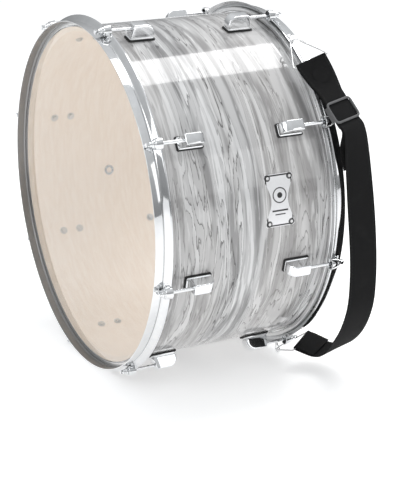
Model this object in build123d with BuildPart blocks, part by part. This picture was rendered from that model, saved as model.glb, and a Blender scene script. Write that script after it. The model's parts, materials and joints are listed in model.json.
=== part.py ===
from build123d import *
from math import asin, atan2, cos, hypot, radians, sin, tan
import os

# Bass drum lying on its side, in millimetres. The drum axis runs along Y, with the front head at
# -Y, and +Z is up. The origin is on the floor, under the middle of the drum.

# Shell
shell_radius = 277.5            # outside of the bare wood
shell_wall = 7.5
shell_depth = 300.0
bearing_chamfer = 6.5           # inner cut of the bearing edge; the rest of the wall is its crest
wrap_thickness = 0.5
wrap_edge = 3.0                 # bare wood between the wrap and the bearing edge

# Heads
film_thickness = 0.3
collar_gap = 0.7                # between the wrap and the film's collar
flesh_width = 7.0
flesh_height = 8.0
flesh_drop = 1.0                # flesh hoop's upper face below the bearing edge

# Counter hoops
hoop_sheet = 2.0
band_clearance = 2.0            # radial, from the flesh hoop to the outside of the hoop's band
hoop_rim_height = 16.0          # rim above the bearing edge
flange_width = 8.0              # how far the flange stands out from the band
flange_run = 6.0                # how far the flange slopes towards the shell
flange_edge = 2.5
groove_depth = 1.4
groove_width = 4.0
ledge_thickness = 1.0

# Tension rods, their lugs and the ears of the hoops
lug_count = 8
lug_phase = 15.0                # first lug, from straight up, about the drum axis
rod_radius = 2.95
rod_fit = 0.05                  # radial clearance in the nut
hole_clearance = 0.5            # radial clearance through ears and casings
ear_front_radius = 8.5
ear_back_radius = 10.1
ear_opening = 2.2               # the ear is open towards the drum up to here outside the band
washer_radius = 7.0
washer_thickness = 1.5
collar_radius = 6.0
collar_thickness = 3.0
neck_radius = 4.0
neck_length = 3.5
key_width = 6.4
key_length = 5.5
head_gap = 0.05                 # between a rod's collar and its washer

lug_inset = 63.0                # centre of the lug from the bearing edge
lug_length = 42.0
lug_width = 20.0
lug_base = 2.6
lug_height = 24.0
lug_hump_width = 17.6
lug_hump_foot = 19.5            # foot of the hump's steep end, from the lug's centre
lug_hump_tail = -20.5           # where the rounded end meets the base
lug_face_start = 15.5           # where the hump's flat face begins and ends
lug_face_end = -6.0
gasket_length = 45.4
gasket_width = 23.0
gasket_thickness = 2.0
corner_radius = 3.0

nut_length = 9.0
nut_width = 13.6
nut_height = 11.0
nut_clearance = 0.4
nut_cavity = 10.0               # length of the casing's pocket for the nut
rod_past_nut = 3.0
bore_past_rod = 2.0

lug_screw_spacing = 31.0
lug_screw_radius = 2.0
lug_screw_depth = 6.0           # thread held in the casing
screw_head_radius = 4.0
screw_head_height = 2.4
screw_washer_radius = 6.5
screw_washer_thickness = 1.2

# Air vent and badge
vent_angle = -171.0             # about the drum axis, from +X towards +Z
vent_offset = 4.0               # along the axis from the middle of the shell
vent_bore_radius = 5.0
vent_tube_wall = 1.0
vent_lip_radius = 9.0
vent_lip_thickness = 1.5

badge_angle = 8.0
badge_offset = 53.0
badge_length = 83.0             # around the shell
badge_width = 50.0
badge_thickness = 1.0
badge_corner = 3.0
pin_spacing_long = 72.0
pin_spacing_short = 39.0
pin_radius = 1.2
pin_head_radius = 2.4
pin_head_height = 0.8
pin_depth = 4.0

# Shoulder strap, its rings, buckle and the eyes on the rear hoop
eye_angles = {"top": 59.5, "bottom": -66.0}
eye_offsets = {"top": 7.0, "bottom": 12.5}      # centre of the eye's hole beyond the flange
eye_hole_radius = 5.5
eye_rim = 2.0
eye_stem = 8.0                  # width of the neck between the eye and the flange
eye_gap = 0.9                   # between the wire and the rim of the hole
wire_radius = 1.5
ring_base = 60.0                # length of the bar that carries the webbing
ring_corner_radius = 3.0
ring_apex_radius = 8.0
ring_drops = {"top": 0.0, "bottom": 3.0}           # how far each bend hangs past its eye
webbing_width = 50.0
webbing_thickness = 1.8
webbing_gap = 0.4               # between webbing and what it passes
loop_layer = 1.3                # middle of each layer of the loop from the loop's middle
loop_spread = 60.0              # from the bar to where the two layers lie together
loop_end = 118.0                # from the bar to the end of the doubled stretch
tail_points = [(144.0, -23.0), (174.0, -40.0)]  # free end: along the loop, and out from it
buckle_centre = 93.0            # from the bar, along the loop
buckle_length = 38.0
buckle_leg = 3.0
buckle_corner = 6.0
buckle_bar = 4.5
buckle_bar_thickness = 2.0
buckle_gap = 0.6

# The strap's places: the bar of each ring, then the webbing from the loop's end down to the bottom
# ring. A place is (beyond the flange, beyond the rim, angle about the drum axis) and the direction
# of the webbing's width there.
bars = {
    "top": ((15.2, -18.7, 48.8), (0.303, 0.868, 0.388)),
    "bottom": ((10.3, -1.5, -56.5), (-0.49, 0.83, 0.27)),
}
loop_direction = (0.585, 0.268, -0.766)
loop_width_direction = (-0.31, 0.946, 0.095)    # of the loop's webbing where it reaches the buckle
webbing_places = [
    ((4.4, 21.0, 18.4), (-0.15, 0.98, 0.05)),
    ((1.4, 23.0, 2.9), (0.0, 1.0, 0.0)),
    ((15.0, 23.0, -9.3), (0.0, 1.0, 0.0)),
    ((30.3, 23.0, -18.2), (0.0, 1.0, 0.0)),
    ((44.8, 22.0, -25.7), (0.0, 1.0, 0.0)),
    ((50.7, 22.0, -33.2), (0.0, 1.0, 0.02)),
    ((50.0, 23.0, -40.8), (-0.05, 1.0, 0.05)),
    ((46.6, 22.5, -47.6), (-0.2, 0.96, 0.15)),
    ((34.4, 16.0, -52.7), (-0.4, 0.88, 0.22)),
]

# Places that follow from the sizes above
half_depth = shell_depth / 2
rim_y = half_depth + hoop_rim_height
wrap_radius = shell_radius + wrap_thickness
collar_radius_inside = wrap_radius + collar_gap
flesh_inner = collar_radius_inside + film_thickness
flesh_outer = flesh_inner + flesh_width
flesh_top = half_depth - flesh_drop
hoop_band_radius = flesh_outer + band_clearance
flange_radius = hoop_band_radius + flange_width
rod_circle_radius = flange_radius
axis_height = flange_radius
ear_opening_radius = hoop_band_radius + ear_opening
gasket_top = wrap_radius + gasket_thickness
lug_y = half_depth - lug_inset
ear_face = flesh_top + hoop_sheet + ledge_thickness
drum_axis = Axis((0, 0, axis_height), (0, 1, 0))
axial = Plane(origin=(0, 0, axis_height), x_dir=(1, 0, 0), z_dir=(0, 0, 1))
ends = {"front": -1, "rear": 1}

os.makedirs("parts", exist_ok=True)


def finish(builder, label):
    builder.part.label = label
    export_step(builder.part, f"parts/{label}.step")


def at_angle(angle):
    """Turn about the drum axis that carries +X to this angle, counted towards +Z."""
    return Location((0, 0, axis_height), (0, -angle, 0))


def lug_angles():
    return [90 - lug_phase - i * 360 / lug_count for i in range(lug_count)]


def radial_plane(radius, y):
    """Plane facing outwards at this radius, its x along the drum axis."""
    return Plane(origin=(radius, y, 0), x_dir=(0, 1, 0), z_dir=(1, 0, 0))


# ---- Shell, its wrap and the vent ----
screw_ys = [side * (lug_y + step * lug_screw_spacing / 2) for side in (-1, 1) for step in (-1, 1)]
with BuildPart() as radial_holes:
    for angle in lug_angles():
        for y in screw_ys:
            with Locations(at_angle(angle)):
                with Locations(Location((shell_radius, y, 0), (0, 90, 0))):
                    Cylinder(lug_screw_radius, 4 * shell_wall)
with BuildPart() as vent_hole:
    with Locations(at_angle(vent_angle)):
        with Locations(Location((shell_radius, vent_offset, 0), (0, 90, 0))):
            Cylinder(vent_bore_radius + vent_tube_wall, 4 * shell_wall)
with BuildPart() as pin_holes:
    with Locations(at_angle(badge_angle)):
        with Locations(Location((wrap_radius, badge_offset, 0), (0, 90, 0))):
            with GridLocations(pin_spacing_long, pin_spacing_short, 2, 2):
                Cylinder(pin_radius, 3 * pin_depth)

with BuildPart() as shell:
    with BuildSketch(axial):
        with BuildLine():
            inside = shell_radius - shell_wall
            Polyline(
                (inside, 0),
                (inside, half_depth - bearing_chamfer),
                (inside + bearing_chamfer, half_depth),
                (shell_radius, half_depth),
                (shell_radius, 0),
                close=True,
            )
        make_face()
        mirror(about=Plane.XZ)
    revolve(axis=drum_axis)
    add(radial_holes.part, mode=Mode.SUBTRACT)
    add(vent_hole.part, mode=Mode.SUBTRACT)
    add(pin_holes.part, mode=Mode.SUBTRACT)
finish(shell, "shell")

wrap_depth = shell_depth - 2 * wrap_edge
with BuildPart() as shell_wrap:
    with BuildSketch(axial):
        with Locations((shell_radius + wrap_thickness / 2, 0)):
            Rectangle(wrap_thickness, wrap_depth)
    revolve(axis=drum_axis)
    add(radial_holes.part, mode=Mode.SUBTRACT)
    add(vent_hole.part, mode=Mode.SUBTRACT)
    add(pin_holes.part, mode=Mode.SUBTRACT)
finish(shell_wrap, "shell_wrap")

# The grommet of the air vent: a tube through the shell with a lip seated on each face
with BuildPart() as outer_lip:
    with BuildSketch(radial_plane(shell_radius, vent_offset)):
        Circle(vent_lip_radius)
    extrude(amount=wrap_thickness + vent_lip_thickness)
    Cylinder(wrap_radius, 2 * shell_wall + shell_depth, rotation=(90, 0, 0), mode=Mode.SUBTRACT)
with BuildPart() as inner_lip:
    with BuildSketch(radial_plane(inside - vent_lip_thickness, vent_offset)):
        Circle(vent_lip_radius)
    extrude(amount=2 * vent_lip_thickness)
    Cylinder(inside, shell_depth, rotation=(90, 0, 0), mode=Mode.INTERSECT)
with BuildPart() as grommet_tube:
    with BuildSketch(radial_plane(inside - vent_lip_thickness, vent_offset)):
        Circle(vent_bore_radius + vent_tube_wall)
    extrude(amount=shell_wall + wrap_thickness + 2 * vent_lip_thickness)
with BuildPart() as vent_grommet:
    with Locations(at_angle(vent_angle)):
        add(outer_lip.part)
        add(inner_lip.part)
        add(grommet_tube.part)
        with Locations(Location((shell_radius, vent_offset, 0), (0, 90, 0))):
            Cylinder(vent_bore_radius, 4 * shell_wall, mode=Mode.SUBTRACT)
finish(vent_grommet, "vent_grommet")

# ---- Badge plate, bent to the shell, and its pins ----
with BuildPart() as badge_blank:
    with BuildSketch(radial_plane(inside, 0)):
        RectangleRounded(badge_width, badge_length, badge_corner)
        with GridLocations(pin_spacing_short, pin_spacing_long, 2, 2):
            Circle(pin_radius, mode=Mode.SUBTRACT)
    extrude(amount=2 * shell_wall)
    Cylinder(wrap_radius + badge_thickness, badge_width, rotation=(90, 0, 0), mode=Mode.INTERSECT)
    Cylinder(wrap_radius, badge_width, rotation=(90, 0, 0), mode=Mode.SUBTRACT)
with BuildPart() as badge_plate:
    with Locations(at_angle(badge_angle) * Location((0, badge_offset, 0))):
        add(badge_blank.part)
finish(badge_plate, "badge_plate")

pin_seat = wrap_radius + badge_thickness
with BuildPart() as badge_pins:
    with Locations(at_angle(badge_angle) * Location((0, badge_offset, 0))):
        for z in (-pin_spacing_long / 2, pin_spacing_long / 2):
            for y in (-pin_spacing_short / 2, pin_spacing_short / 2):
                seat = (pin_seat**2 - (abs(z) - pin_head_radius) ** 2) ** 0.5
                with Locations(Location((seat, y, z), (0, 90, 0))):
                    Cylinder(pin_head_radius, pin_head_height, align=(Align.CENTER, Align.CENTER, Align.MIN))
                    Cylinder(pin_radius, pin_depth, align=(Align.CENTER, Align.CENTER, Align.MAX))
finish(badge_pins, "badge_pins")

# ---- Heads, flesh hoops and counter hoops ----
flange_y = flesh_top - flange_run
slope = Vector(flange_radius - hoop_band_radius, -flange_run).normalized()
under = Vector(slope.Y, -slope.X) * hoop_sheet
band_inner = hoop_band_radius - hoop_sheet
ledge_inner = band_inner - groove_depth
root_radius = hoop_band_radius + under.X
groove_mid = flesh_top + groove_width / 2

ear_section = [
    (rod_radius + hole_clearance, ear_face),
    (ear_front_radius, ear_face),
    (ear_back_radius, flange_y - flange_edge),
    (ear_back_radius - hoop_sheet, flange_y - flange_edge),
    (ear_front_radius - hoop_sheet, ear_face - hoop_sheet),
    (rod_radius + hole_clearance, ear_face - hoop_sheet),
]
hollow_section = [
    (0, ear_face + hoop_sheet),
    (rod_radius + hole_clearance, ear_face + hoop_sheet),
    (rod_radius + hole_clearance, ear_face - hoop_sheet),
    (ear_front_radius - hoop_sheet, ear_face - hoop_sheet),
    (ear_back_radius - hoop_sheet, flange_y - flange_edge),
    (0, flange_y - flange_edge),
]


def about_rod(section, side):
    """Solid of revolution about a tension rod's axis on the +X side of the drum axis."""
    with BuildPart() as turned:
        with BuildSketch(Plane.XY):
            with BuildLine():
                Polyline([(rod_circle_radius + r, side * y) for r, y in section], close=True)
            make_face()
        revolve(axis=Axis((rod_circle_radius, 0, 0), (0, 1, 0)))
    return turned.part


for end, side in ends.items():
    with BuildPart() as head_film:
        with BuildSketch(axial):
            with BuildLine():
                Polyline(
                    (0, side * half_depth),
                    (collar_radius_inside, side * half_depth),
                    (collar_radius_inside, side * (flesh_top - flesh_height)),
                    (flesh_inner, side * (flesh_top - flesh_height)),
                    (flesh_inner, side * (half_depth + film_thickness)),
                    (0, side * (half_depth + film_thickness)),
                    close=True,
                )
            make_face()
        revolve(axis=drum_axis)
    finish(head_film, f"{end}_head_film")

    with BuildPart() as flesh_hoop:
        with BuildSketch(axial):
            with Locations(((flesh_inner + flesh_outer) / 2, side * (flesh_top - flesh_height / 2))):
                Rectangle(flesh_width, flesh_height)
        revolve(axis=drum_axis)
    finish(flesh_hoop, f"{end}_flesh_hoop")

    with BuildPart() as ear:
        add(about_rod(ear_section, side))
        with Locations((ear_opening_radius, side * (ear_face - hoop_sheet), 0)):
            Box(
                4 * ear_back_radius,
                2 * flange_run + 2 * flange_edge,
                4 * ear_back_radius,
                align=(Align.MAX, Align.MAX if side > 0 else Align.MIN, Align.CENTER),
                mode=Mode.SUBTRACT,
            )
    with BuildPart() as hoop:
        with BuildSketch(axial):
            with BuildLine():
                profile = [
                    (hoop_band_radius, rim_y),
                    (hoop_band_radius, flesh_top + groove_width),
                    (hoop_band_radius - groove_depth, groove_mid + groove_depth / 2),
                    (hoop_band_radius - groove_depth, groove_mid - groove_depth / 2),
                    (hoop_band_radius, flesh_top),
                    (flange_radius, flange_y),
                    (flange_radius, flange_y - flange_edge),
                    (flange_radius + under.X, flange_y + under.Y),
                    (root_radius, flesh_top + under.Y),
                    (root_radius, flesh_top),
                    (ledge_inner, flesh_top),
                    (ledge_inner, groove_mid + groove_depth),
                    (band_inner, groove_mid + 2 * groove_depth),
                    (band_inner, rim_y),
                ]
                Polyline([(r, side * y) for r, y in profile], close=True)
            make_face()
        revolve(axis=drum_axis)
        hollow = about_rod(hollow_section, side)
        for angle in lug_angles():
            with Locations(at_angle(angle)):
                add(hollow, mode=Mode.SUBTRACT)
                add(ear.part)
    finish(hoop, f"{end}_hoop")

# ---- Tension rods ----
washer_y = ear_face + washer_thickness
collar_y = washer_y + head_gap
neck_y = collar_y + collar_thickness
key_y = neck_y + neck_length
nut_front = lug_y + nut_cavity / 2
rod_end = nut_front - nut_length - rod_past_nut
rod_section = [
    (0, rod_end),
    (rod_radius, rod_end),
    (rod_radius, collar_y),
    (collar_radius, collar_y),
    (collar_radius, neck_y),
    (neck_radius, neck_y),
    (neck_radius, key_y),
    (0, key_y),
]
washer_section = [
    (rod_radius + hole_clearance, ear_face),
    (washer_radius, ear_face),
    (washer_radius, washer_y),
    (rod_radius + hole_clearance, washer_y),
]
for end, side in ends.items():
    places = [at_angle(angle) for angle in lug_angles()]
    for number, place in enumerate(places, start=1):
        with BuildPart() as rod:
            with Locations(place):
                add(about_rod(rod_section, side))
                with Locations((rod_circle_radius, side * (key_y + key_length / 2), 0)):
                    Box(key_width, key_length, key_width)
        finish(rod, f"{end}_rod_{number}")
    with BuildPart() as rod_washers:
        with Locations(*places):
            add(about_rod(washer_section, side))
    finish(rod_washers, f"{end}_rod_washers")

    # ---- Lugs: gasket, casing, nut and the screws that hold them from inside ----
    with BuildPart() as gasket:
        with BuildSketch(radial_plane(inside, side * lug_y)):
            RectangleRounded(gasket_length, gasket_width, corner_radius)
            with GridLocations(lug_screw_spacing, 0, 2, 1):
                Circle(lug_screw_radius, mode=Mode.SUBTRACT)
        extrude(amount=2 * shell_wall)
        Cylinder(gasket_top, shell_depth, rotation=(90, 0, 0), mode=Mode.INTERSECT)
        Cylinder(wrap_radius, shell_depth, rotation=(90, 0, 0), mode=Mode.SUBTRACT)

    with BuildPart() as casing:
        with BuildSketch(radial_plane(shell_radius, side * lug_y)):
            RectangleRounded(lug_length, lug_width, corner_radius)
        extrude(amount=gasket_top + lug_base - shell_radius)
        base_top = gasket_top + lug_base
        hump_top = gasket_top + lug_height
        with BuildSketch(Plane.XY):
            with BuildLine():
                Polyline(
                    (base_top, side * (lug_y + lug_hump_tail)),
                    (shell_radius, side * (lug_y + lug_hump_tail)),
                    (shell_radius, side * (lug_y + lug_hump_foot)),
                    (base_top, side * (lug_y + lug_hump_foot)),
                    (hump_top, side * (lug_y + lug_face_start)),
                    (hump_top, side * (lug_y + lug_face_end)),
                )
                TangentArc(
                    (hump_top, side * (lug_y + lug_face_end)),
                    (base_top, side * (lug_y + lug_hump_tail)),
                    tangent=(0, -side),
                )
            make_face()
        extrude(amount=lug_hump_width / 2, both=True)
        Cylinder(gasket_top, shell_depth, rotation=(90, 0, 0), mode=Mode.SUBTRACT)
        with Locations((rod_circle_radius + nut_height / 2 + nut_clearance, side * lug_y, 0)):
            Box(
                lug_height,
                nut_cavity,
                nut_width + 2 * nut_clearance,
                align=(Align.MAX, Align.CENTER, Align.CENTER),
                mode=Mode.SUBTRACT,
            )
        bore_start = rod_end - bore_past_rod
        bore_end = lug_y + lug_length / 2
        with Locations((rod_circle_radius, side * (bore_start + bore_end) / 2, 0)):
            Cylinder(
                rod_radius + hole_clearance, bore_end - bore_start, rotation=(90, 0, 0), mode=Mode.SUBTRACT
            )
        with BuildSketch(radial_plane(shell_radius, side * lug_y)):
            with GridLocations(lug_screw_spacing, 0, 2, 1):
                Circle(lug_screw_radius)
        extrude(amount=gasket_top + lug_screw_depth - shell_radius, mode=Mode.SUBTRACT)

    with BuildPart() as nut:
        with Locations((rod_circle_radius, side * (nut_front - nut_length / 2), 0)):
            Box(nut_height, nut_length, nut_width)
            Cylinder(rod_radius + rod_fit, nut_length, rotation=(90, 0, 0), mode=Mode.SUBTRACT)

    with BuildPart() as screw_washer:
        with BuildSketch(radial_plane(inside - screw_washer_thickness, 0)):
            Circle(screw_washer_radius)
            Circle(lug_screw_radius, mode=Mode.SUBTRACT)
        extrude(amount=2 * screw_washer_thickness)
        Cylinder(inside, shell_depth, rotation=(90, 0, 0), mode=Mode.INTERSECT)
    with BuildPart() as screw:
        with BuildSketch(radial_plane(inside - screw_washer_thickness, 0)):
            Circle(lug_screw_radius)
        extrude(amount=gasket_top + lug_screw_depth - inside + screw_washer_thickness)
        with BuildSketch(radial_plane(inside - screw_washer_thickness, 0)):
            Circle(screw_head_radius)
        extrude(amount=-screw_head_height)

    groups = {"gaskets": gasket, "casings": casing, "nuts": nut}
    for kind, piece in groups.items():
        with BuildPart() as group:
            with Locations(*places):
                add(piece.part)
        finish(group, f"{end}_lug_{kind}")
    for kind, piece in {"screws": screw, "screw_washers": screw_washer}.items():
        with BuildPart() as group:
            with Locations(*places):
                for y in screw_ys:
                    if y * side > 0:
                        with Locations((0, y, 0)):
                            add(piece.part)
        finish(group, f"{end}_lug_{kind}")

# ---- Strap: eyes on the rear hoop, rings, webbing and buckle ----
centre = Vector(0, 0, axis_height)


def beside_hoop(out_of_flange, past_rim, angle):
    """Point this far beyond the flange and beyond the rear rim, at an angle about the drum axis."""
    radius, turn = flange_radius + out_of_flange, radians(angle)
    return centre + Vector(radius * cos(turn), rim_y + past_rim, radius * sin(turn))


loop_along = Vector(*loop_direction).normalized()
eye_y = flange_y - flange_edge / 2
eye_thickness = 1.4              # pressed thinner than the hoop
eye_radius = eye_hole_radius + eye_rim
frames = {}
for place, angle in eye_angles.items():
    hole_radius = flange_radius + eye_offsets[place]
    with BuildPart() as eye_blank:
        with BuildSketch(Plane(origin=(0, eye_y, 0), x_dir=(1, 0, 0), z_dir=(0, -1, 0))):
            with Locations((hole_radius, 0)):
                Circle(eye_radius)
            with Locations(((flange_radius + hole_radius) / 2 - eye_rim, 0)):
                Rectangle(hole_radius - flange_radius + 2 * eye_rim, eye_stem)
            with Locations((hole_radius, 0)):
                Circle(eye_hole_radius, mode=Mode.SUBTRACT)
        extrude(amount=eye_thickness / 2, both=True)
        Cylinder(flange_radius, shell_depth + 4 * hoop_rim_height, rotation=(90, 0, 0), mode=Mode.SUBTRACT)
    with BuildPart() as strap_eye:
        with Locations(at_angle(angle)):
            add(eye_blank.part)
    finish(strap_eye, f"strap_eye_{place}")

    turn = radians(angle)
    eye_middle = centre + Vector(hole_radius * cos(turn), eye_y - ring_drops[place], hole_radius * sin(turn))
    bar = beside_hoop(*bars[place][0])
    across = Vector(*bars[place][1]).normalized()
    ring_plane = Plane(origin=bar, x_dir=across, z_dir=across.cross(bar - eye_middle).normalized())

    # The bend in the eye stands just off the hole's rim, and both legs are tangent to it
    eye_x = (eye_middle - bar).dot(across)
    eye_depth = (bar - eye_middle).dot(ring_plane.y_dir)
    bend_depth = eye_depth - eye_hole_radius + wire_radius + eye_gap - ring_apex_radius
    bend_x = eye_x * bend_depth / eye_depth
    slopes = []
    for run in (ring_base / 2 + bend_x, ring_base / 2 - bend_x):
        slopes.append(tan(atan2(bend_depth, run) + asin(ring_apex_radius / hypot(run, bend_depth))))
    apex_depth = ring_base / (1 / slopes[0] + 1 / slopes[1])
    apex_x = apex_depth / slopes[0] - ring_base / 2
    with BuildPart() as strap_ring:
        with BuildLine(ring_plane) as wire:
            corners = [(-ring_base / 2, 0), (ring_base / 2, 0), (apex_x, -apex_depth)]
            radii = [ring_corner_radius, ring_corner_radius, ring_apex_radius]
            FilletPolyline(corners, radius=radii, close=True)
        with BuildSketch(Plane(origin=wire.line @ 0, z_dir=wire.line % 0)):
            Circle(wire_radius)
        sweep(transition=Transition.ROUND)
    finish(strap_ring, f"strap_ring_{place}")
    frames[place] = (bar, across)


def webbing(places, first_along=None, last_along=None):
    """Flat webbing lofted through places, each a centre and the direction of its width."""
    middles = [middle for middle, _ in places]
    with BuildPart() as band:
        for i, (middle, across) in enumerate(places):
            along = middles[min(i + 1, len(places) - 1)] - middles[max(i - 1, 0)]
            if i == 0 and first_along:
                along = first_along
            if i == len(places) - 1 and last_along:
                along = last_along
            across = across - along * (across.dot(along) / along.dot(along))
            with BuildSketch(Plane(origin=middle, x_dir=across.normalized(), z_dir=along.normalized())):
                Rectangle(webbing_width, webbing_thickness)
        loft()
    return band.part


# The loop: webbing round the top ring's bar. Its two layers turn and close in as far as the spread's
# end, then lie together through the buckle.
top_bar, bar_across = frames["top"]
top_across = Vector(*loop_width_direction).normalized()
loop_along = (loop_along - top_across * top_across.dot(loop_along)).normalized()
out = loop_along.cross(top_across)
bar_along = (loop_along - bar_across * bar_across.dot(loop_along)).normalized()
half_turned = (bar_across + top_across).normalized()
inner = webbing_thickness / 2
turn_radius = wire_radius + webbing_gap
stand_off = turn_radius + inner
with BuildPart() as strap_loop:
    for layer in (-1, 1):
        start = top_bar + bar_along.cross(bar_across) * (layer * stand_off)
        halfway = top_bar + loop_along * (loop_spread / 2)
        halfway += loop_along.cross(half_turned).normalized() * (layer * (stand_off + loop_layer) / 2)
        closed = top_bar + loop_along * loop_spread + out * (layer * loop_layer)
        layer_end = top_bar + loop_along * loop_end + out * (layer * loop_layer)
        turning = [(start, bar_across), (halfway, half_turned), (closed, top_across)]
        add(webbing(turning, first_along=bar_along, last_along=loop_along))
        add(webbing([(closed, top_across), (layer_end, top_across)]))
    with BuildSketch(Plane(origin=top_bar, x_dir=bar_along, z_dir=bar_across)):
        Circle(turn_radius + webbing_thickness)
        Circle(turn_radius, mode=Mode.SUBTRACT)
        with Locations((turn_radius + webbing_thickness, 0)):
            Rectangle(2 * (turn_radius + webbing_thickness), 4 * turn_radius + 4 * inner, mode=Mode.SUBTRACT)
    extrude(amount=webbing_width / 2, both=True)
finish(strap_loop, "strap_loop")

# The main run, from the loop's outer layer down to its fold round the bottom ring's bar
bottom_bar, bottom_across = frames["bottom"]
run_start = top_bar + loop_along * loop_end + out * loop_layer
run_places = [(run_start, top_across)]
run_places += [(beside_hoop(*where), Vector(*across)) for where, across in webbing_places]
fold_middle = turn_radius + inner
last_along = (bottom_bar - run_places[-1][0]).normalized()
run_places += [(bottom_bar - last_along * fold_middle, bottom_across)]
with BuildPart() as strap_webbing:
    add(webbing(run_places, first_along=loop_along))
    with BuildSketch(Plane(origin=bottom_bar, z_dir=bottom_across)):
        Circle(turn_radius + webbing_thickness)
    extrude(amount=webbing_width / 2, both=True)
    with BuildSketch(Plane(origin=bottom_bar, z_dir=bottom_across)):
        Circle(turn_radius)
    extrude(amount=webbing_width, both=True, mode=Mode.SUBTRACT)
finish(strap_webbing, "strap_webbing")

# The free tail, hanging from the loop's inner layer
tail_start = top_bar + loop_along * loop_end - out * loop_layer
tail_places = [(tail_start, top_across)]
tail_places += [(top_bar + loop_along * s + out * n, top_across) for s, n in tail_points]
with BuildPart() as strap_tail:
    add(webbing(tail_places, first_along=loop_along))
finish(strap_tail, "strap_tail")

# The slide buckle: a frame before the webbing, its middle bar behind, and legs that join them
buckle_place = Plane(origin=top_bar + loop_along * buckle_centre, x_dir=loop_along, z_dir=out)
opening = webbing_width + 2 * buckle_gap
buckle_width = opening + 2 * buckle_leg
bar_face = loop_layer + inner + webbing_gap
with BuildPart() as strap_buckle:
    with BuildSketch(buckle_place.offset(bar_face)):
        RectangleRounded(buckle_length, buckle_width, buckle_corner)
        Rectangle(buckle_length - 2 * buckle_bar, opening, mode=Mode.SUBTRACT)
    extrude(amount=buckle_bar_thickness)
    with BuildSketch(buckle_place.offset(-bar_face - buckle_bar_thickness)):
        with GridLocations(0, opening + buckle_leg, 1, 2):
            Rectangle(buckle_length - 2 * buckle_corner, buckle_leg)
    extrude(amount=2 * bar_face + 2 * buckle_bar_thickness)
    with BuildSketch(buckle_place.offset(-bar_face - buckle_bar_thickness)):
        Rectangle(buckle_bar, buckle_width)
    extrude(amount=buckle_bar_thickness)
finish(strap_buckle, "strap_buckle")
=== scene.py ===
import json
from math import acos, asin, atan2, cos, hypot, pi, radians, sin, tan
import bmesh
import bpy
import numpy as np
from mathutils import Matrix, Vector


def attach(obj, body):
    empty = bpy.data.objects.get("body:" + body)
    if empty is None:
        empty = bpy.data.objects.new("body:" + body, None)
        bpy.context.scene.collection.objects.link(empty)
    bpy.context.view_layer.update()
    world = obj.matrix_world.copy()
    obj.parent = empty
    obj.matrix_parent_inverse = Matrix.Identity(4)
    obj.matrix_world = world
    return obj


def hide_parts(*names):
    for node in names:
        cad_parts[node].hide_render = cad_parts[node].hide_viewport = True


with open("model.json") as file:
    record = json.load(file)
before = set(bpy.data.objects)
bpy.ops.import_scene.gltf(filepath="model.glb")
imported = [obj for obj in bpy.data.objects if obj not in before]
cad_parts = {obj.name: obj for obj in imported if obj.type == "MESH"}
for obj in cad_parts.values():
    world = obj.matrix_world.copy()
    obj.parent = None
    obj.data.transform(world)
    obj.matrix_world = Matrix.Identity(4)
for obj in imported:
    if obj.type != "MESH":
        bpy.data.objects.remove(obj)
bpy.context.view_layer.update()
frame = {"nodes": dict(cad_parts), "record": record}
scene = bpy.context.scene

axisHeight = 0.296
halfDepth = 0.150
lugAngles = [75 - 45 * i for i in range(8)]
ends = {"front": -1, "rear": 1}


# A shader value; arithmetic on it adds Math nodes to its tree
class Value:
    def __init__(self, paint, socket):
        self.paint, self.socket = paint, socket

    def math(self, operation, *others):
        values = dict(enumerate((self, *others)))
        return self.paint.node("ShaderNodeMath", 0, {"operation": operation}, values)

    def __add__(self, other):
        return self.math("ADD", other)

    def __sub__(self, other):
        return self.math("SUBTRACT", other)

    def __mul__(self, other):
        return self.math("MULTIPLY", other)

    def __truediv__(self, other):
        return self.math("DIVIDE", other)

    def __pow__(self, other):
        return self.math("POWER", other)

    def __neg__(self):
        return self.math("MULTIPLY", -1.0)

    def __rsub__(self, other):
        return (-self).math("ADD", other)

    __radd__, __rmul__ = __add__, __mul__

    def size(self):
        return self.math("ABSOLUTE")

    def parts(self, axis):
        return self.paint.node("ShaderNodeSeparateXYZ", axis, {}, {0: self})

    def below(self, limit, soft):       # 1 under the limit, 0 above it, with a soft step
        return self.ramp(limit + soft, limit - soft)

    def ramp(self, low, high):          # 0 at low, 1 at high, smooth between
        settings = {"interpolation_type": "SMOOTHSTEP"}
        values = {"Value": self, "From Min": low, "From Max": high}
        return self.paint.node("ShaderNodeMapRange", 0, settings, values)


# A material and its node tree
class Paint:
    def __init__(self, name):
        self.material = bpy.data.materials.new(name)
        self.material.use_nodes = True
        self.tree = self.material.node_tree
        self.tree.nodes.clear()
        self.nodes = self.tree.nodes

    def node(self, kind, output=0, settings={}, values={}):
        made = self.nodes.new(kind)
        for key, value in settings.items():
            setattr(made, key, value)
        for key, value in values.items():
            if isinstance(value, Value):
                self.tree.links.new(value.socket, made.inputs[key])
            else:
                made.inputs[key].default_value = value
        return Value(self, made.outputs[output])

    def place(self, stretch=(1, 1, 1)):
        where = self.node("ShaderNodeTexCoord", "Object")
        return self.node("ShaderNodeVectorMath", 0, {"operation": "MULTIPLY"}, {0: where, 1: stretch})

    def marks(self):
        both = self.node("ShaderNodeUVMap", 0, {"uv_map": "marks"})
        split = self.node("ShaderNodeSeparateXYZ", 0, {}, {0: both})
        return split, Value(self, split.socket.node.outputs[1])

    def noise(self, where, scale, detail=3.0, rough=0.5, warp=0.0, output=0):
        values = {"Vector": where, "Scale": scale, "Detail": detail, "Roughness": rough, "Distortion": warp}
        return self.node("ShaderNodeTexNoise", output, {}, values)

    def mix(self, share, a, b):
        return self.node("ShaderNodeMix", 2, {"data_type": "RGBA"}, {0: share, 6: a, 7: b})

    def bump(self, height, distance, strength=1.0):
        values = {"Height": height, "Distance": distance, "Strength": strength}
        return self.node("ShaderNodeBump", 0, {}, values)

    def surface(self, values):
        self.finish(self.node("ShaderNodeBsdfPrincipled", 0, {}, values))
        return self.material

    def finish(self, shader):
        output = self.nodes.new("ShaderNodeOutputMaterial")
        self.tree.links.new(shader.socket, output.inputs["Surface"])


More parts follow.
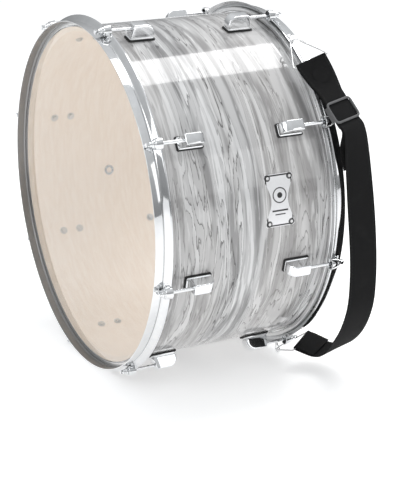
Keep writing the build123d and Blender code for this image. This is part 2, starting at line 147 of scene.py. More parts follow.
def grey(level, tint=(1, 1, 1)):
    return (level * tint[0], level * tint[1], level * tint[2], 1)


def makeWrap():
    p = Paint("streaked_wrap")
    along = p.place((0.085, 1, 0.085))
    drift = p.noise(p.place((0.25, 1, 0.25)), 7.0, 2.0, output=1)
    shift = {0: drift, 1: (0.035,) * 3, 2: along}
    moved = p.node("ShaderNodeVectorMath", 0, {"operation": "MULTIPLY_ADD"}, shift)
    broad = p.noise(moved, 34.0, 2.0, 0.5, 0.35)
    fine = p.noise(moved, 150.0, 3.0, 0.6, 0.5)
    depth = broad * 15.0 + fine * 1.6
    step = depth.math("FLOOR")
    tone = p.node("ShaderNodeTexWhiteNoise", 0, {"noise_dimensions": "1D"}, {"W": step})
    color = p.mix(tone.ramp(0.0, 1.0), grey(0.26, (1.02, 1.0, 1.0)), grey(0.72))
    soft = p.noise(moved, 60.0, 2.0, 0.5)
    color = p.mix(soft.ramp(0.54, 0.38) * 0.75, color, grey(0.13, (1.0, 0.98, 0.99)))
    color = p.mix(fine.ramp(0.54, 0.68) * 0.55, color, grey(0.82))
    where = depth.math("FRACT")
    thick = p.noise(moved, 22.0, 1.0).ramp(0.36, 0.56)
    line = where.below(0.13, 0.11) * thick
    color = p.mix(line * 0.95, color, grey(0.025, (1.0, 0.94, 0.98)))
    tint = p.noise(moved, 12.0, 1.0)
    color = p.mix(tint.ramp(0.48, 0.68) * 0.35, color, grey(0.56, (1.04, 1.0, 0.97)))
    knots = p.noise(p.place((0.3, 1, 0.3)), 30.0, 1.0).ramp(0.72, 0.78)
    color = p.mix(knots * 0.8, color, grey(0.05))
    wave = p.noise(p.place(), 12.0, 1.0)
    return p.surface({
        "Base Color": color,
        "Roughness": 0.08 + fine * 0.05,
        "Coat Weight": 0.6,
        "Coat Roughness": 0.02,
        "Normal": p.bump(wave, 0.0006, 0.25),
    })


def makeWood():
    p = Paint("pale_ply")
    grain = p.noise(p.place((1, 6, 1)), 30.0, 5.0, 0.6, 0.4)
    cloud = p.noise(p.place(), 5.0, 2.0)
    color = p.mix(grain.ramp(0.35, 0.7), (0.84, 0.71, 0.58, 1), (0.89, 0.78, 0.66, 1))
    color = p.mix(cloud.ramp(0.4, 0.7) * 0.35, color, (0.90, 0.80, 0.70, 1))
    return p.surface({
        "Base Color": color,
        "Roughness": 0.42 + grain * 0.15,
        "Normal": p.bump(grain, 0.0003, 0.3),
    })


def makeFilm():
    p = Paint("clear_film")
    smear = p.noise(p.place(), 9.0, 3.0, 0.6)
    clear = p.node("ShaderNodeBsdfTransparent", 0, {}, {"Color": (0.97, 0.975, 0.98, 1)})
    polish = 0.05 + smear * 0.06
    shine = p.node("ShaderNodeBsdfAnisotropic", 0, {}, {"Color": (1, 1, 1, 1), "Roughness": polish})
    facing = p.node("ShaderNodeLayerWeight", 1, {}, {"Blend": 0.5})
    gloss = 0.02 + facing**4.0 * 0.45 + smear * 0.02
    p.finish(p.node("ShaderNodeMixShader", 0, {}, {0: gloss, 1: clear, 2: shine}))
    return p.material


def makeMetal(name, level, rough, spread, tint=(1, 1, 1)):
    p = Paint(name)
    cloud = p.noise(p.place(), 60.0, 4.0, 0.6)
    fine = p.noise(p.place((1, 1, 1)), 900.0, 2.0)
    return p.surface({
        "Base Color": p.mix(cloud.ramp(0.3, 0.75), grey(level * 0.93, tint), grey(level, tint)),
        "Metallic": 1.0,
        "Roughness": rough + cloud * spread,
        "Normal": p.bump(fine, 0.00002, 0.2),
    })


# Chrome outside, unpolished on the inner face of the band
def makeHoopMetal():
    p = Paint("chrome_hoops")
    x, z = p.place().parts(0), p.place().parts(2) - axisHeight
    inside = (x * x + z * z).math("SQRT").below(0.28665, 0.0003)
    cloud = p.noise(p.place(), 60.0, 4.0, 0.6)
    fine = p.noise(p.place(), 900.0, 2.0)
    bright = p.mix(cloud.ramp(0.3, 0.75), grey(0.78, (0.98, 0.99, 1.0)), grey(0.84, (0.98, 0.99, 1.0)))
    return p.surface({
        "Base Color": p.mix(inside, bright, grey(0.30)),
        "Metallic": 1.0,
        "Roughness": 0.035 + cloud * 0.05 + inside * 0.35,
        "Normal": p.bump(fine, 0.00002, 0.2),
    })


def makeRubber():
    p = Paint("black_rubber")
    fine = p.noise(p.place(), 1500.0, 2.0)
    return p.surface({
        "Base Color": p.mix(fine, grey(0.012), grey(0.03)),
        "Roughness": 0.62 + fine * 0.15,
        "Normal": p.bump(fine, 0.0001, 0.4),
    })


def makeBadge():
    p = Paint("badge_plate")
    across, along = p.marks()
    grain = p.noise(p.place((30, 400, 30)), 6.0, 2.0)
    edgeLong = (across.size() - 0.0226).size().below(0.0011, 0.0002) * along.size().below(0.0400, 0.0002)
    edgeShort = (along.size() - 0.0391).size().below(0.0011, 0.0002) * across.size().below(0.0235, 0.0002)
    corner = ((across.size() - 0.0195) ** 2.0 + (along.size() - 0.036) ** 2.0).math("SQRT")
    inRing = corner.below(0.0052, 0.0002)
    middle = (across * across + (along - 0.008) ** 2.0).math("SQRT")
    ring = (middle - 0.0115).size().below(0.0009, 0.0002) + middle.below(0.0045, 0.0003)
    bars = (along + 0.016).size().below(0.0013, 0.0002) * across.size().below(0.014, 0.0002)
    bars = bars + (along + 0.022).size().below(0.0009, 0.0002) * across.size().below(0.009, 0.0002)
    lines = (edgeLong + edgeShort + inRing * 0.9 + ring + bars).math("MINIMUM", 1.0)
    color = p.mix(grain, grey(0.78), grey(0.90, (0.99, 0.99, 1.01)))
    return p.surface({
        "Base Color": p.mix(lines, color, grey(0.02)),
        "Metallic": 0.35 - lines * 0.35,
        "Roughness": 0.28 + grain * 0.12 + lines * 0.2,
        "Normal": p.bump(lines * -1.0 + grain * 0.1, 0.0002, 0.4),
    })


def makeWebbing():
    p = Paint("black_webbing")
    across, along = p.marks()
    ribs = (along * 3200.0 + (across * 2400.0).math("SINE") * 1.1).math("SINE")
    cords = (across * 4200.0).math("SINE")
    weave = ribs * cords
    edge = across.size().ramp(0.0215, 0.0245)
    stitch = (along * 1100.0).math("SINE").ramp(-0.2, 0.3)
    seam = (across.size() - 0.0212).size().below(0.0005, 0.0002) * stitch
    worn = p.noise(p.place(), 45.0, 4.0, 0.65)
    color = p.mix(weave.ramp(-1.0, 1.0), grey(0.004), grey(0.013, (1, 1, 1.06)))
    color = p.mix(worn.ramp(0.5, 0.8) * 0.4, color, grey(0.022))
    color = p.mix(seam * 0.6, color, grey(0.03))
    return p.surface({
        "Base Color": color,
        "Roughness": 0.80 + worn * 0.15,
        "Specular IOR Level": 0.22,
        "Normal": p.bump(weave + edge * 0.8 + worn * 0.6, 0.0004, 0.7),
    })


def makePlastic():
    p = Paint("grey_plastic")
    fine = p.noise(p.place(), 1200.0, 2.0)
    cloud = p.noise(p.place(), 80.0, 3.0)
    return p.surface({
        "Base Color": p.mix(cloud, grey(0.085), grey(0.13, (1, 1, 1.04))),
        "Roughness": 0.38 + cloud * 0.2,
        "Normal": p.bump(fine, 0.00005, 0.4),
    })


paints = {
    "wrap": makeWrap(),
    "wood": makeWood(),
    "film": makeFilm(),
    "flesh_hoop": makeMetal("rolled_aluminium", 0.80, 0.22, 0.15),
    "hoop": makeHoopMetal(),
    "lug": makeMetal("chrome_lugs", 0.90, 0.03, 0.05, (0.98, 0.99, 1.0)),
    "rod": makeMetal("chrome_rods", 0.86, 0.05, 0.06, (0.98, 0.99, 1.0)),
    "zinc": makeMetal("zinc_screws", 0.62, 0.28, 0.15, (1.0, 0.99, 0.95)),
    "gasket": makeRubber(),
    "vent": makeMetal("chrome_vent", 0.85, 0.08, 0.08),
    "badge": makeBadge(),
    "badge_pins": makeMetal("chrome_pins", 0.82, 0.10, 0.10),
    "wire": makeMetal("chrome_wire", 0.80, 0.10, 0.10),
    "webbing": makeWebbing(),
    "buckle": makePlastic(),
}
print("materials", len(paints))


# Points from the middle of the drum, faces as lists of point numbers, and a two-number mark for each point
class Form:
    def __init__(self, points, faces, marks=None):
        self.points = np.asarray(points, float)
        self.faces = faces
        self.marks = np.zeros((len(self.points), 2)) if marks is None else np.asarray(marks, float)

    def __add__(self, other):
        first = len(self.points)
        faces = self.faces + [[i + first for i in face] for face in other.faces]
        return Form(np.vstack([self.points, other.points]), faces, np.vstack([self.marks, other.marks]))

    def turned(self, degrees):          # about the drum axis, +X towards +Z
        x, y, z = self.points.T
        c, s = cos(radians(degrees)), sin(radians(degrees))
        return Form(np.column_stack([x * c - z * s, y, x * s + z * c]), self.faces, self.marks)

    def onSide(self, side):             # -1 mirrors it to the front end
        return Form(self.points * (1, side, 1), self.faces, self.marks)


# A sheet of quads over a grid of points; a closed direction joins its last row to its first
def grid(points, closedU=False, closedV=False, marks=None):
    rows, columns = points.shape[:2]
    number = np.arange(rows * columns).reshape(rows, columns)
    if closedU:
        number = np.vstack([number, number[:1]])
    if closedV:
        number = np.hstack([number, number[:, :1]])
    quads = np.stack([number[:-1, :-1], number[1:, :-1], number[1:, 1:], number[:-1, 1:]], -1)
    flat = None if marks is None else marks.reshape(-1, 2)
    return Form(points.reshape(-1, 3), quads.reshape(-1, 4).tolist(), flat)


def unit(vector):
    return vector / np.linalg.norm(vector)


# Four corners about the middle, or about a point
def rectangle(halfX, halfY, middle=(0.0, 0.0)):
    x, y = middle
    return [(x - halfX, y - halfY), (x + halfX, y - halfY), (x + halfX, y + halfY), (x - halfX, y + halfY)]


# Each corner of the outline becomes a curve (1-t)^2 a + 2t(1-t) corner + t^2 b, between points a and b that lie
# its radius away from it along both sides
def rounded(points, radii, steps=4, closed=True):
    points = np.asarray(points, float)
    count = len(points)
    radii = [radii] * count if np.isscalar(radii) else radii
    made = []
    for i, corner in enumerate(points):
        if radii[i] == 0 or (not closed and i in (0, count - 1)):
            made.append(corner)
            continue
        before, after = points[i - 1] - corner, points[(i + 1) % count] - corner
        lengths = np.linalg.norm(before), np.linalg.norm(after)
        cut = min(radii[i], 0.48 * lengths[0], 0.48 * lengths[1])
        a, b = corner + before / lengths[0] * cut, corner + after / lengths[1] * cut
        for t in np.linspace(0, 1, steps + 1):
            made.append((1 - t) ** 2 * a + 2 * t * (1 - t) * corner + t * t * b)
    return np.array(made)


# The outline (radius, y) turned about the axis that runs along Y at this distance: x = distance + radius cos a,
# z = radius sin a
def lathe(outline, segments, distance=0.0):
    a = np.linspace(0, 2 * pi, segments, endpoint=False)[:, None]
    r, y = outline[:, 0][None], outline[:, 1][None]
    return grid(np.stack([distance + r * np.cos(a), y + 0 * a, r * np.sin(a)], -1), True, True)


# A flat plate of this outline from low to high, its rims rounded by the bevel: rings of the outline, moved in
# along its normals by bevel (1 - sin a) while they rise by bevel (1 - cos a), with caps that shrink to the middle
def slab(outline, low, high, bevel, steps=3):
    outline = np.asarray(outline, float)
    tangent = np.roll(outline, -1, 0) - np.roll(outline, 1, 0)
    inward = np.column_stack([-tangent[:, 1], tangent[:, 0]])
    inward /= np.linalg.norm(inward, axis=1)[:, None]
    middle = outline.mean(0)
    if ((middle - outline) * inward).sum() < 0:
        inward = -inward
    rings = []
    angles = np.linspace(0, pi / 2, steps + 1)
    for z, rise in ((low, 1), (high, -1)):
        arcs = [(bevel * (1 - sin(a)), z + rise * bevel * (1 - cos(a))) for a in angles]
        rim = []
        for moved, level in arcs:
            rim.append(np.column_stack([outline + inward * moved, np.full(len(outline), level)]))
        cap = []
        for share in (0.0, 0.25, 0.5, 0.75):
            ring = middle + (rim[0][:, :2] - middle) * share
            cap.append(np.column_stack([ring, np.full(len(outline), z)]))
        rings += (cap + rim) if rise == 1 else (cap + rim)[::-1]
    points = np.array(rings)
    return grid(points, False, True, points[..., :2].copy())


# The outline (side, out) carried along a path: point = path + side axis * side + out axis * out, where the out
# axis is square to the path and the side axis; open ends are closed by rings that shrink to the path
def sweep(path, sides, outline, closed=False):
    path, sides = np.asarray(path, float), np.asarray(sides, float)
    if closed:
        tangent = np.roll(path, -1, 0) - np.roll(path, 1, 0)
        run = np.zeros(len(path))
    else:
        tangent = np.gradient(path, axis=0)
        run = np.concatenate([[0], np.cumsum(np.linalg.norm(np.diff(path, axis=0), axis=1))])
    tangent /= np.linalg.norm(tangent, axis=1)[:, None]
    sides = sides - tangent * (sides * tangent).sum(1)[:, None]
    sides /= np.linalg.norm(sides, axis=1)[:, None]
    outs = np.cross(tangent, sides)
    points = path[:, None] + sides[:, None] * outline[None, :, :1] + outs[:, None] * outline[None, :, 1:]
    marks = np.stack(np.broadcast_arrays(outline[None, :, 0], run[:, None]), -1)
    if closed:
        return grid(points, True, True, marks)
    start = [path[0] + (points[0] - path[0]) * s for s in (0.0, 0.5)]
    end = [path[-1] + (points[-1] - path[-1]) * s for s in (0.5, 0.0)]
    points = np.concatenate([start, points, end])
    marks = np.concatenate([marks[:1], marks[:1], marks, marks[-1:], marks[-1:]])
    return grid(points, False, True, marks)


# A smooth line through the points: cubic Hermite pieces whose slope at each point is half the step between its
# neighbours
def smoothLine(points, steps=10):
    points = np.asarray(points, float)
    slope = np.gradient(points, axis=0)
    t = np.linspace(0, 1, steps, endpoint=False)[:, None]
    made = []
    for a, b, u, v in zip(points[:-1], points[1:], slope[:-1], slope[1:]):
        made.append(
            (2 * t**3 - 3 * t**2 + 1) * a + (t**3 - 2 * t**2 + t) * u
            + (3 * t**2 - 2 * t**3) * b + (t**3 - t**2) * v
        )
    return np.vstack(made + [points[-1:]])


def place(name, form, slot, body, nodes=(), sharp=35):
    mesh = bpy.data.meshes.new(name)
    mesh.from_pydata((form.points + (0, 0, axisHeight)).tolist(), [], form.faces)
    layer = mesh.uv_layers.new(name="marks")
    corners = np.zeros(len(mesh.loops), int)
    mesh.loops.foreach_get("vertex_index", corners)
    layer.data.foreach_set("uv", form.marks[corners].ravel())
    work = bmesh.new()
    work.from_mesh(mesh)
    bmesh.ops.remove_doubles(work, verts=work.verts, dist=1e-6)
    bmesh.ops.dissolve_degenerate(work, edges=work.edges, dist=1e-7)
    bmesh.ops.recalc_face_normals(work, faces=work.faces)
    work.to_mesh(mesh)
    work.free()
    mesh.shade_smooth()
    mesh.set_sharp_from_angle(angle=radians(sharp))
    mesh.materials.append(paints[slot])
    made = bpy.data.objects.new(name, mesh)
    scene.collection.objects.link(made)
    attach(made, body)
    if nodes:
        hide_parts(*nodes)
    return made


slots = {row["node"]: row["material_slot"] for row in frame["record"]["subparts"]}
for node, shown in frame["nodes"].items():
    shown.data.materials.clear()
    shown.data.materials.append(paints[slots[node]])

shellSize = {"inner": 0.270, "outer": 0.2775, "chamfer": 0.0065, "wrap": 0.278, "wrapEdge": 0.147}
outline = []
for side in (-1, 1):
    half = [
        (shellSize["inner"], side * (halfDepth - shellSize["chamfer"])),
        (shellSize["inner"] + shellSize["chamfer"], side * halfDepth),
        (shellSize["outer"], side * halfDepth),
    ]
    outline += half if side < 0 else half[::-1]
place("drum_shell", lathe(rounded(outline, 0.0004, 3), 256), "wood", "drum", ["shell"])
edge = shellSize["wrapEdge"]
outline = [
    (shellSize["outer"], -edge), (shellSize["outer"], edge),
    (shellSize["wrap"], edge), (shellSize["wrap"], -edge),
]
place("shell_covering", lathe(np.array(outline), 256), "wrap", "drum", ["shell_wrap"])

filmOutline = [(0, 0.150), (0.2787, 0.150), (0.2787, 0.141), (0.2790, 0.141), (0.2790, 0.1503), (0, 0.1503)]
fleshOutline = [(0.279, 0.141), (0.286, 0.141), (0.286, 0.149), (0.279, 0.149)]
hoopOutline = [
    (0.288, 0.166), (0.288, 0.153), (0.2866, 0.1517), (0.2866, 0.1503), (0.288, 0.149), (0.296, 0.143),
    (0.296, 0.1405), (0.2948, 0.1414), (0.2868, 0.1474), (0.2868, 0.149), (0.2846, 0.149), (0.2846, 0.1524),
    (0.286, 0.1538), (0.286, 0.166),
]
hoopRadii = [
    0.0009, 0.001, 0.0007, 0.0007, 0.0012, 0.0016, 0.0008,
    0.0008, 0.0008, 0, 0, 0.0006, 0.0008, 0.0009,
]
earOutline = [
    (0.00345, 0.152), (0.0085, 0.152), (0.0101, 0.1405), (0.0081, 0.1405), (0.0065, 0.150), (0.00345, 0.150),
]
earRadii = [0.0003, 0.0018, 0.0006, 0.0004, 0.0012, 0.0003]
rodCircle = 0.296
earInside = {"above": 0.2875, "below": 0.2902, "step": 0.1499}

ear = lathe(rounded(earOutline, earRadii), 40, rodCircle)
# the ear stays open towards the drum
inner = np.where(ear.points[:, 1] > earInside["step"], earInside["above"], earInside["below"])
ear.points[:, 0] = np.maximum(ear.points[:, 0], inner)
for end, side in ends.items():
    place(f"{end}_head", lathe(np.array(filmOutline), 256).onSide(side), "film", "drum", [f"{end}_head_film"])
    flesh = lathe(rounded(fleshOutline, 0.0012, 3), 256)
    place(f"{end}_inner_hoop", flesh.onSide(side), "flesh_hoop", "drum", [f"{end}_flesh_hoop"])
    hoop = lathe(rounded(hoopOutline, hoopRadii), 320)
    for angle in lugAngles:
        hoop = hoop + ear.turned(angle)
    place(f"{end}_counter_hoop", hoop.onSide(side), "hoop", "drum", [f"{end}_hoop"])
print("shell, heads and hoops")

lug = {
    "y": 0.087, "length": 0.042, "width": 0.020, "foot": 0.280, "base": 0.2826, "top": 0.304,
    "humpWidth": 0.0176,
}
bend = 0.01561
turn = np.linspace(0, radians(111.8), 16)
hump = [(lug["foot"], 0.0195), (0.2828, 0.0194), (lug["top"], 0.0155)]
hump = rounded(hump + [(lug["top"], -0.006)], [0, 0, 0.003, 0], 6, closed=False)
arc = np.column_stack([lug["top"] - bend + bend * np.cos(turn), -0.006 - bend * np.sin(turn)])
hump = np.vstack([hump[:-1], arc, [(lug["foot"], -0.0205)]])
hump[:, 1] += lug["y"]
casing = slab(hump, -lug["humpWidth"] / 2, lug["humpWidth"] / 2, 0.0018, 4)
halfLong, halfWide = lug["length"] / 2, lug["width"] / 2
plate = slab(rounded(rectangle(halfLong, halfWide), 0.003), lug["foot"], lug["base"], 0.0008)
plate.points = plate.points[:, [2, 0, 1]] + (0, lug["y"], 0)
casing = casing + plate

rod = {
    "end": 0.080, "radius": 0.00295, "collarY": 0.15355, "collar": 0.006, "neckY": 0.15655, "neck": 0.004,
    "keyY": 0.16005, "keyLength": 0.0055, "keyHalf": 0.0032,
}
rodOutline = [
    (0, rod["end"]), (rod["radius"], rod["end"]),
    (rod["radius"], rod["collarY"]), (rod["collar"], rod["collarY"]),
    (rod["collar"], rod["neckY"]), (rod["neck"], rod["neckY"]),
    (rod["neck"], rod["keyY"]), (0, rod["keyY"]),
]
shank = lathe(rounded(rodOutline, [0, 0.0006, 0, 0.0006, 0.0009, 0.0003, 0.0004, 0]), 32, rodCircle)
keyOutline = rounded(rectangle(rod["keyHalf"], rod["keyHalf"]), 0.0007, 3)
key = slab(keyOutline, rod["keyY"], rod["keyY"] + rod["keyLength"], 0.0006)
key.points = key.points[:, [0, 2, 1]] + (rodCircle, 0, 0)
for end, side in ends.items():
    lugs = casing.turned(lugAngles[0])
    for angle in lugAngles[1:]:
        lugs = lugs + casing.turned(angle)
    place(f"{end}_lugs", lugs.onSide(side), "lug", "drum", [f"{end}_lug_casings"], 30)
    for number, angle in enumerate(lugAngles, start=1):
        one = (shank + key).turned(angle).onSide(side)
        place(f"{end}_tension_rod_{number}", one, "rod", f"{end}_rod_{number}", [f"{end}_rod_{number}"], 30)
print("lugs and rods")

badge = {"angle": 8, "y": 0.053, "halfAround": 0.0415, "halfAlong": 0.025, "thick": 0.001, "corner": 0.003}
badgeOutline = rounded(rectangle(badge["halfAlong"], badge["halfAround"]), badge["corner"], 6)
flat = slab(badgeOutline, 0, badge["thick"], 0.0003)
across, around, out = flat.points.T
turnBy = radians(badge["angle"]) + around / shellSize["wrap"]
radius = shellSize["wrap"] + out
flat.points = np.column_stack([radius * np.cos(turnBy), badge["y"] + across, radius * np.sin(turnBy)])
place("badge", flat, "badge", "drum", ["badge_plate"])

strap = {"width": 0.050, "thick": 0.0018, "layer": 0.0013, "bar": 0.0028, "spread": 0.060, "end": 0.118}
topBar = np.array((0.2048, 0.1473, 0.2343))
topAcross = unit(np.array((-0.31, 0.946, 0.095)))
down = np.array((0.585, 0.268, -0.766))
down = unit(down - topAcross * (down @ topAcross))
outward = np.cross(down, topAcross)
bottomBar = np.array((0.1690, 0.1645, -0.2554))
bottomAcross = unit(np.array((-0.49, 0.83, 0.27)))
runPlaces = [
    ((0.285, 0.187, 0.095), (-0.15, 0.98, 0.05)),
    ((0.297, 0.189, 0.015), (0, 1, 0)),
    ((0.307, 0.189, -0.050), (0, 1, 0)),
    ((0.310, 0.189, -0.102), (0, 1, 0)),
    ((0.307, 0.188, -0.148), (0, 1, 0)),
    ((0.290, 0.188, -0.190), (0, 1, 0.02)),
    ((0.262, 0.189, -0.226), (-0.05, 1, 0.05)),
    ((0.231, 0.1885, -0.253), (-0.2, 0.96, 0.15)),
    ((0.200, 0.182, -0.263), (-0.4, 0.88, 0.22)),
]
tailPlaces = [(0.144, -0.023), (0.174, -0.040)]
w, t = strap["width"] / 2, strap["thick"] / 2
band = rounded(rectangle(w, t), 0.0007, 3)


def alongLoop(s, n):
    return topBar + down * s + outward * n


# The doubled stretch turns from the bar's direction to the buckle's as its layers close in
barAcross = unit(np.array((0.303, 0.868, 0.388)))
barDown = unit(down - barAcross * (down @ barAcross))
together, spreading = np.linspace(strap["end"], strap["spread"], 6), np.linspace(strap["spread"], 0, 16)
places = np.concatenate([together[:-1], spreading])
share = np.clip(1 - places / strap["spread"], 0, 1)
layerSides = np.array([unit(topAcross * (1 - k) + barAcross * k) for k in share])
layerOut = np.array([unit(np.cross(down, side)) for side in layerSides])
heights = strap["layer"] + (strap["bar"] - strap["layer"]) * share
layers = {sign: topBar + np.outer(places, down) + layerOut * (sign * heights)[:, None] for sign in (1, -1)}
turn = np.linspace(pi / 2, 3 * pi / 2, 15)[1:-1]
barOut = np.cross(barDown, barAcross)
fold = [topBar + strap["bar"] * (barDown * cos(a) + barOut * sin(a)) for a in turn]
path = np.vstack([layers[1], fold, layers[-1][::-1]])
sides = np.vstack([layerSides, np.tile(barAcross, (len(fold), 1)), layerSides[::-1]])
place("strap_doubled", sweep(path, sides, band), "webbing", "strap", ["strap_loop"])

start = alongLoop(strap["end"], strap["layer"])
middles = [start - down * 0.006, start + down * 0.012] + [p for p, _ in runPlaces]
sides = [topAcross, topAcross] + [unit(np.array(s)) for _, s in runPlaces]
arriving = unit(bottomBar - np.array(middles[-1]))
under = np.cross(arriving, bottomAcross)
middles += [bottomBar + under * strap["bar"]]
sides += [bottomAcross]
path, sides = smoothLine(middles, 12), smoothLine(sides, 12)
turn = np.linspace(0, 1.15 * pi, 18)[1:]
fold = [bottomBar + strap["bar"] * (under * cos(a) + arriving * sin(a)) for a in turn]
back = [fold[-1] - arriving * s - under * 0.0012 for s in (0.008, 0.018, 0.028, 0.036)]
path = np.vstack([path, fold, back])
sides = np.vstack([sides, np.tile(bottomAcross, (len(fold) + len(back), 1))])
place("strap_run", sweep(path, sides, band), "webbing", "strap", ["strap_webbing"])

start = alongLoop(strap["end"], -strap["layer"])
path = smoothLine([start - down * 0.006, start + down * 0.008] + [alongLoop(s, n) for s, n in tailPlaces], 12)
tail = sweep(path, np.tile(topAcross, (len(path), 1)), band)
place("strap_free_end", tail, "webbing", "strap", ["strap_tail"])

# A plain round patch pressed on the doubled stretch
patchRadius = 0.0135
turn = np.linspace(0, 2 * pi, 48, endpoint=False)
patch = slab(np.column_stack([patchRadius * np.cos(turn), patchRadius * np.sin(turn)]), 0, 0.0008, 0.0004)
u, v, n = patch.points.T
spot = 0.028
share = 1 - spot / strap["spread"]
patchSide = unit(topAcross * (1 - share) + barAcross * share)
height = strap["layer"] + t + n + (strap["bar"] - strap["layer"]) * share
patchOut = unit(np.cross(down, patchSide))
patch.points = topBar + np.outer(spot + v, down) + np.outer(u, patchSide) + np.outer(height, patchOut)
place("strap_patch", patch, "webbing", "strap")

# Buckle: a frame before the webbing, its middle bar behind, and legs that join them
buckle = {
    "centre": 0.093, "length": 0.038, "leg": 0.003, "gap": 0.0006, "bar": 0.0045, "face": 0.0026,
    "thick": 0.002,
}
halfWide = w + buckle["gap"] + buckle["leg"]
halfLong = buckle["length"] / 2
buckleMiddle = alongLoop(buckle["centre"], 0)


def onBuckle(form):                     # outline x down the strap, y across it, z outward
    x, y, z = form.points.T
    form.points = buckleMiddle + np.outer(x, down) + np.outer(y, topAcross) + np.outer(z, outward)
    return form


ringPath = rounded(rectangle(halfLong - 0.002, halfWide - 0.0016), 0.007, 8)
ringPath = np.column_stack([ringPath, np.full(len(ringPath), buckle["face"] + buckle["thick"] / 2)])
section = rounded(rectangle(0.001, 0.0019), 0.0008, 3)
frameForm = sweep(ringPath, np.tile((0, 0, 1.0), (len(ringPath), 1)), section, closed=True)
reach = buckle["face"] + buckle["thick"]
bar = rounded(rectangle(buckle["bar"] / 2, halfWide), 0.0008, 2)
frameForm = frameForm + slab(bar, -reach, -buckle["face"], 0.0006)
for sign in (-1, 1):
    y = sign * (halfWide - buckle["leg"] / 2)
    leg = rounded(rectangle(0.013, 0.0014, (0, y)), 0.001, 3)
    frameForm = frameForm + slab(leg, -reach, reach - 0.0004, 0.0006)
place("slide_buckle", onBuckle(frameForm), "buckle", "buckle", ["strap_buckle"])

# Arcs of true radius at the corners of a closed outline: an arc touches its corner's two sides at
# radius / tan(half the corner's angle) from the corner, and turns about a centre on the corner's bisector
def bent(points, radii, steps):
    made = []
    for i, corner in enumerate(points):
        back, ahead = unit(points[i - 1] - corner), unit(points[(i + 1) % len(points)] - corner)
        half = acos(back @ ahead) / 2
        centre = corner + unit(back + ahead) * radii[i] / sin(half)
        first = corner + back * radii[i] / tan(half) - centre
        last = corner + ahead * radii[i] / tan(half) - centre
        turned = pi - 2 * half
        for a in np.linspace(0, turned, steps):
            made.append(centre + (first * sin(turned - a) + last * sin(a)) / sin(turned))
    return np.array(made)


# Wire rings: triangles whose bend stands just inside the eye's hole, with both legs tangent to it
ring = {"wire": 0.0015, "base": 0.060, "corner": 0.003, "bend": 0.008, "hole": 0.0055, "gap": 0.0009}
eyes = {"top": (59.5, 0.303, 0.0), "bottom": (-66, 0.3085, 0.003)}
bars = {"top": (topBar, barAcross), "bottom": (bottomBar, bottomAcross)}
turn = np.linspace(0, 2 * pi, 16, endpoint=False)
circle = np.column_stack([ring["wire"] * np.cos(turn), ring["wire"] * np.sin(turn)])
for key, (angle, radius, drop) in eyes.items():
    middle, across = bars[key]
    eye = np.array((radius * cos(radians(angle)), 0.14175 - drop, radius * sin(radians(angle))))
    fromEye = middle - eye
    upward = unit(fromEye - across * (fromEye @ across))
    eyeX, eyeDepth = -fromEye @ across, fromEye @ upward
    bendDepth = eyeDepth - ring["hole"] + ring["wire"] + ring["gap"] - ring["bend"]
    bendX = eyeX * bendDepth / eyeDepth
    slopes = []
    for run in (ring["base"] / 2 + bendX, ring["base"] / 2 - bendX):
        slopes.append(tan(atan2(bendDepth, run) + asin(ring["bend"] / hypot(run, bendDepth))))
    apexDepth = ring["base"] / (1 / slopes[0] + 1 / slopes[1])
    apexX = apexDepth / slopes[0] - ring["base"] / 2
    corners = [middle - across * ring["base"] / 2, middle + across * ring["base"] / 2]
    corners.append(middle + across * apexX - upward * apexDepth)
    path = bent(corners, [ring["corner"], ring["corner"], ring["bend"]], 12)
    normal = np.cross(across, upward)
    form = sweep(path, np.tile(normal, (len(path), 1)), circle, closed=True)
    place(f"wire_ring_{key}", form, "wire", "strap", [f"strap_ring_{key}"], 60)
print("badge and strap")

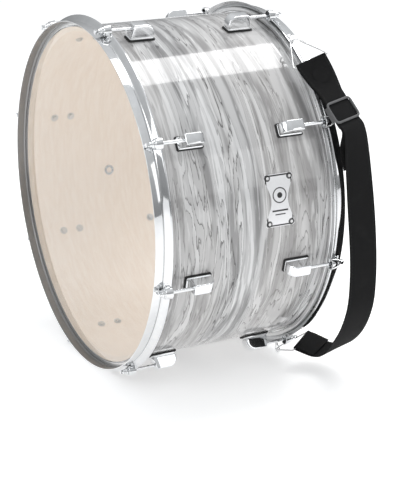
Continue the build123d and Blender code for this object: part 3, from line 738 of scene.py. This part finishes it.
floorPaint = Paint("pale_floor")
speck = floorPaint.noise(floorPaint.place(), 40.0, 3.0)
floorPaint.surface({
    "Base Color": floorPaint.mix(speck, grey(0.88), grey(0.90)),
    "Roughness": 0.9,
    "Specular IOR Level": 0.1,
    "Emission Color": grey(1.0),
    "Emission Strength": 0.42,
})
mesh = bpy.data.meshes.new("floor")
mesh.from_pydata([(-20, -20, 0), (20, -20, 0), (20, 20, 0), (-20, 20, 0)], [], [(0, 1, 2, 3)])
mesh.materials.append(floorPaint.material)
floor = bpy.data.objects.new("floor", mesh)
scene.collection.objects.link(floor)

# The room: bright overhead, dimmer towards the horizon
world = bpy.data.worlds.new("studio")
world.use_nodes = True
sky = world.node_tree.nodes
up = sky.new("ShaderNodeTexCoord").outputs["Generated"]
height = sky.new("ShaderNodeSeparateXYZ")
level = sky.new("ShaderNodeMapRange")
level.inputs["From Min"].default_value, level.inputs["From Max"].default_value = -0.1, 0.9
level.inputs["To Min"].default_value, level.inputs["To Max"].default_value = 0.22, 0.80
world.node_tree.links.new(up, height.inputs[0])
world.node_tree.links.new(height.outputs[2], level.inputs["Value"])
world.node_tree.links.new(level.outputs[0], sky["Background"].inputs["Strength"])
sky["Background"].inputs["Color"].default_value = (0.96, 0.98, 1.0, 1)
scene.world = world


# brightness is what the panel shows in a reflection
def softbox(name, position, target, width, height, brightness):
    light = bpy.data.lights.new(name, "AREA")
    light.shape = "RECTANGLE"
    light.size, light.size_y = width, height
    light.energy = brightness * pi * width * height
    lamp = bpy.data.objects.new(name, light)
    scene.collection.objects.link(lamp)
    lamp.location = position
    lamp.rotation_euler = (Vector(target) - Vector(position)).to_track_quat("-Z", "Y").to_euler()
    return lamp


softbox("overhead", (-0.22, 0.92, 2.25), (0, 0, 0.3), 0.75, 2.6, 5.0)
softbox("front_fill", (1.2, -3.0, 2.0), (0, 0, 0.3), 2.2, 1.6, 1.9)
softbox("side_fill", (3.4, 1.9, 1.6), (0, 0, 0.3), 1.0, 1.6, 1.0)

camera = bpy.data.objects.new("camera", bpy.data.cameras.new("camera"))
camera.data.lens = 106.37
camera.data.sensor_width = 36
right, up, back = (0.462159, 0.886797, 0), (-0.287205, 0.149679, 0.946102), (0.839001, -0.437250, 0.323868)
turned = Matrix((right, up, back)).transposed().to_4x4()
camera.matrix_world = Matrix.Translation((2.15864, -1.05781, 1.0007)) @ turned
scene.collection.objects.link(camera)
scene.camera = camera
scene.view_settings.view_transform = "Standard"
